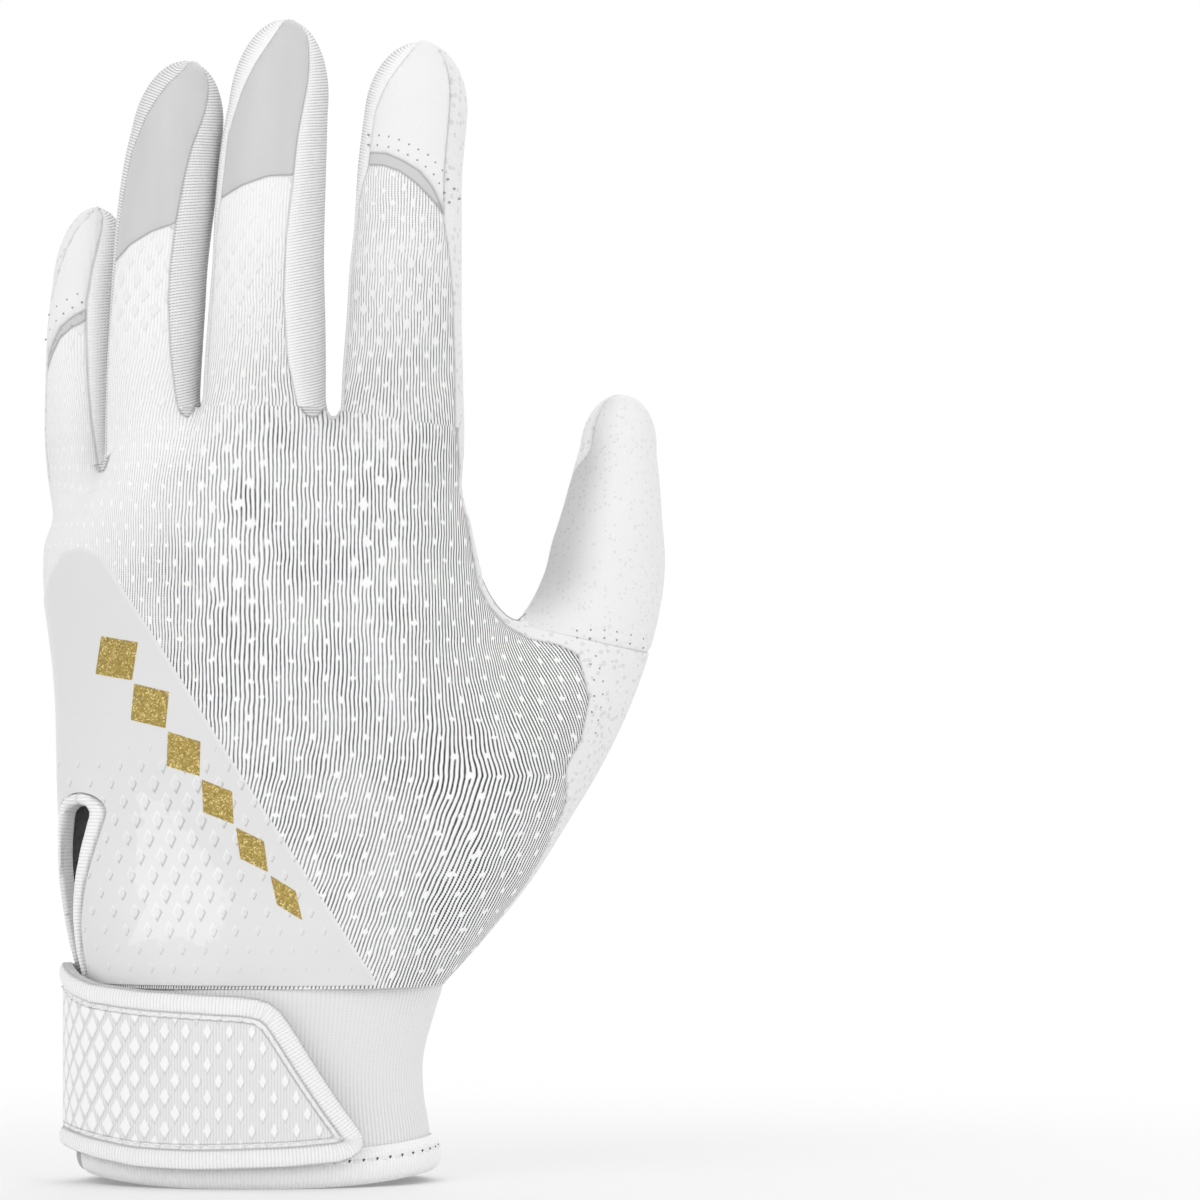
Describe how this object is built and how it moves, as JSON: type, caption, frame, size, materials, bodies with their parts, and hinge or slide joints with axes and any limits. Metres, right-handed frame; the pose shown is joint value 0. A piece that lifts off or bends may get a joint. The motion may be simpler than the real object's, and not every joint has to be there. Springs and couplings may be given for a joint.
{
  "type": "batting glove",
  "caption": "White left-hand batting glove with a knit back, leather palm with raised pads, ribbed finger sides, a knit cuff and a wrap-over wrist strap.",
  "frame": {"origin": "centre of the bounding box's bottom, at the cuff hem's rest plane", "axes": "+X to the thumb side, +Y out of the palm, +Z from the cuff to the fingertips"},
  "size_m": [0.132, 0.0588, 0.245],
  "materials": {
    "leather": "satin",
    "knit": "matte",
    "shield_film": "gloss",
    "gold": "satin",
    "grey_film": "gloss",
    "ribbed": "matte",
    "mesh": "matte",
    "binding": "matte",
    "cuff_knit": "matte",
    "strap_knit": "matte",
    "hook": "matte",
    "loop": "matte",
    "foam": "matte"
  },
  "bodies": {
    "hand": {"palm_leather": "leather", "back_knit": "knit", "back_shield": "shield_film", "shield_motif": "gold", "upper_pad_cover": "leather", "upper_pad_foam": "foam", "heel_pad_cover": "leather", "heel_pad_foam": "foam", "gusset_thumb_web": "mesh", "gusset_index_middle": "ribbed", "gusset_middle_ring": "ribbed", "gusset_ring_little": "ribbed", "cuff_knit": "cuff_knit", "cuff_hem": "binding", "slit_binding": "binding", "strap_anchor": "strap_knit", "cuff_loop": "loop"},
    "index": {"index_palm": "leather", "index_back": "knit", "index_vent": "grey_film", "index_tip": "leather", "index_strip_little_side": "ribbed", "index_crease": "leather"},
    "middle": {"middle_palm": "leather", "middle_back": "knit", "middle_cap": "grey_film", "middle_strip_thumb_side": "ribbed", "middle_strip_little_side": "ribbed", "middle_crease": "leather"},
    "ring": {"ring_palm": "leather", "ring_back": "knit", "ring_cap": "grey_film", "ring_strip_thumb_side": "ribbed", "ring_strip_little_side": "ribbed", "ring_crease": "leather"},
    "little": {"little_palm": "leather", "little_back": "knit", "little_vent": "grey_film", "little_tip": "leather", "little_strip_thumb_side": "ribbed", "little_crease": "leather"},
    "thumb": {"thumb_palm": "leather", "thumb_back": "leather", "thumb_crease": "leather"},
    "strap": {"strap_tab": "strap_knit", "strap_binding": "binding", "strap_hook": "hook"}
  },
  "joints": [
    {"name": "index_flex", "type": "hinge", "parent": "hand", "child": "index", "pos_m": [0.01103, -0.0009, 0.17], "axis": [-0.9387, 0.3416, 0.0469], "range_deg": [0, 75], "deforming": ["index_crease"]},
    {"name": "middle_flex", "type": "hinge", "parent": "hand", "child": "middle", "pos_m": [-0.01777, -0.0001, 0.17], "axis": [-0.9387, 0.3416, 0.0469], "range_deg": [0, 75], "deforming": ["middle_crease"]},
    {"name": "ring_flex", "type": "hinge", "parent": "hand", "child": "ring", "pos_m": [-0.04127, 0.0042, 0.17], "axis": [-0.9387, 0.3416, 0.0469], "range_deg": [0, 75], "deforming": ["ring_crease"]},
    {"name": "little_flex", "type": "hinge", "parent": "hand", "child": "little", "pos_m": [-0.05727, 0.0162, 0.158], "axis": [-0.9387, 0.3416, 0.0469], "range_deg": [0, 75], "deforming": ["little_crease"]},
    {"name": "thumb_flex", "type": "hinge", "parent": "hand", "child": "thumb", "pos_m": [0.05313, 0.0166, 0.124], "axis": [-0.8645, -0.5026, 0], "range_deg": [0, 50], "deforming": ["thumb_crease"]},
    {"name": "strap_peel", "type": "hinge", "parent": "hand", "child": "strap", "pos_m": [-0.06017, -0.0004, 0.025], "axis": [0, 0, -1], "range_deg": [0, 130]}
  ]
}
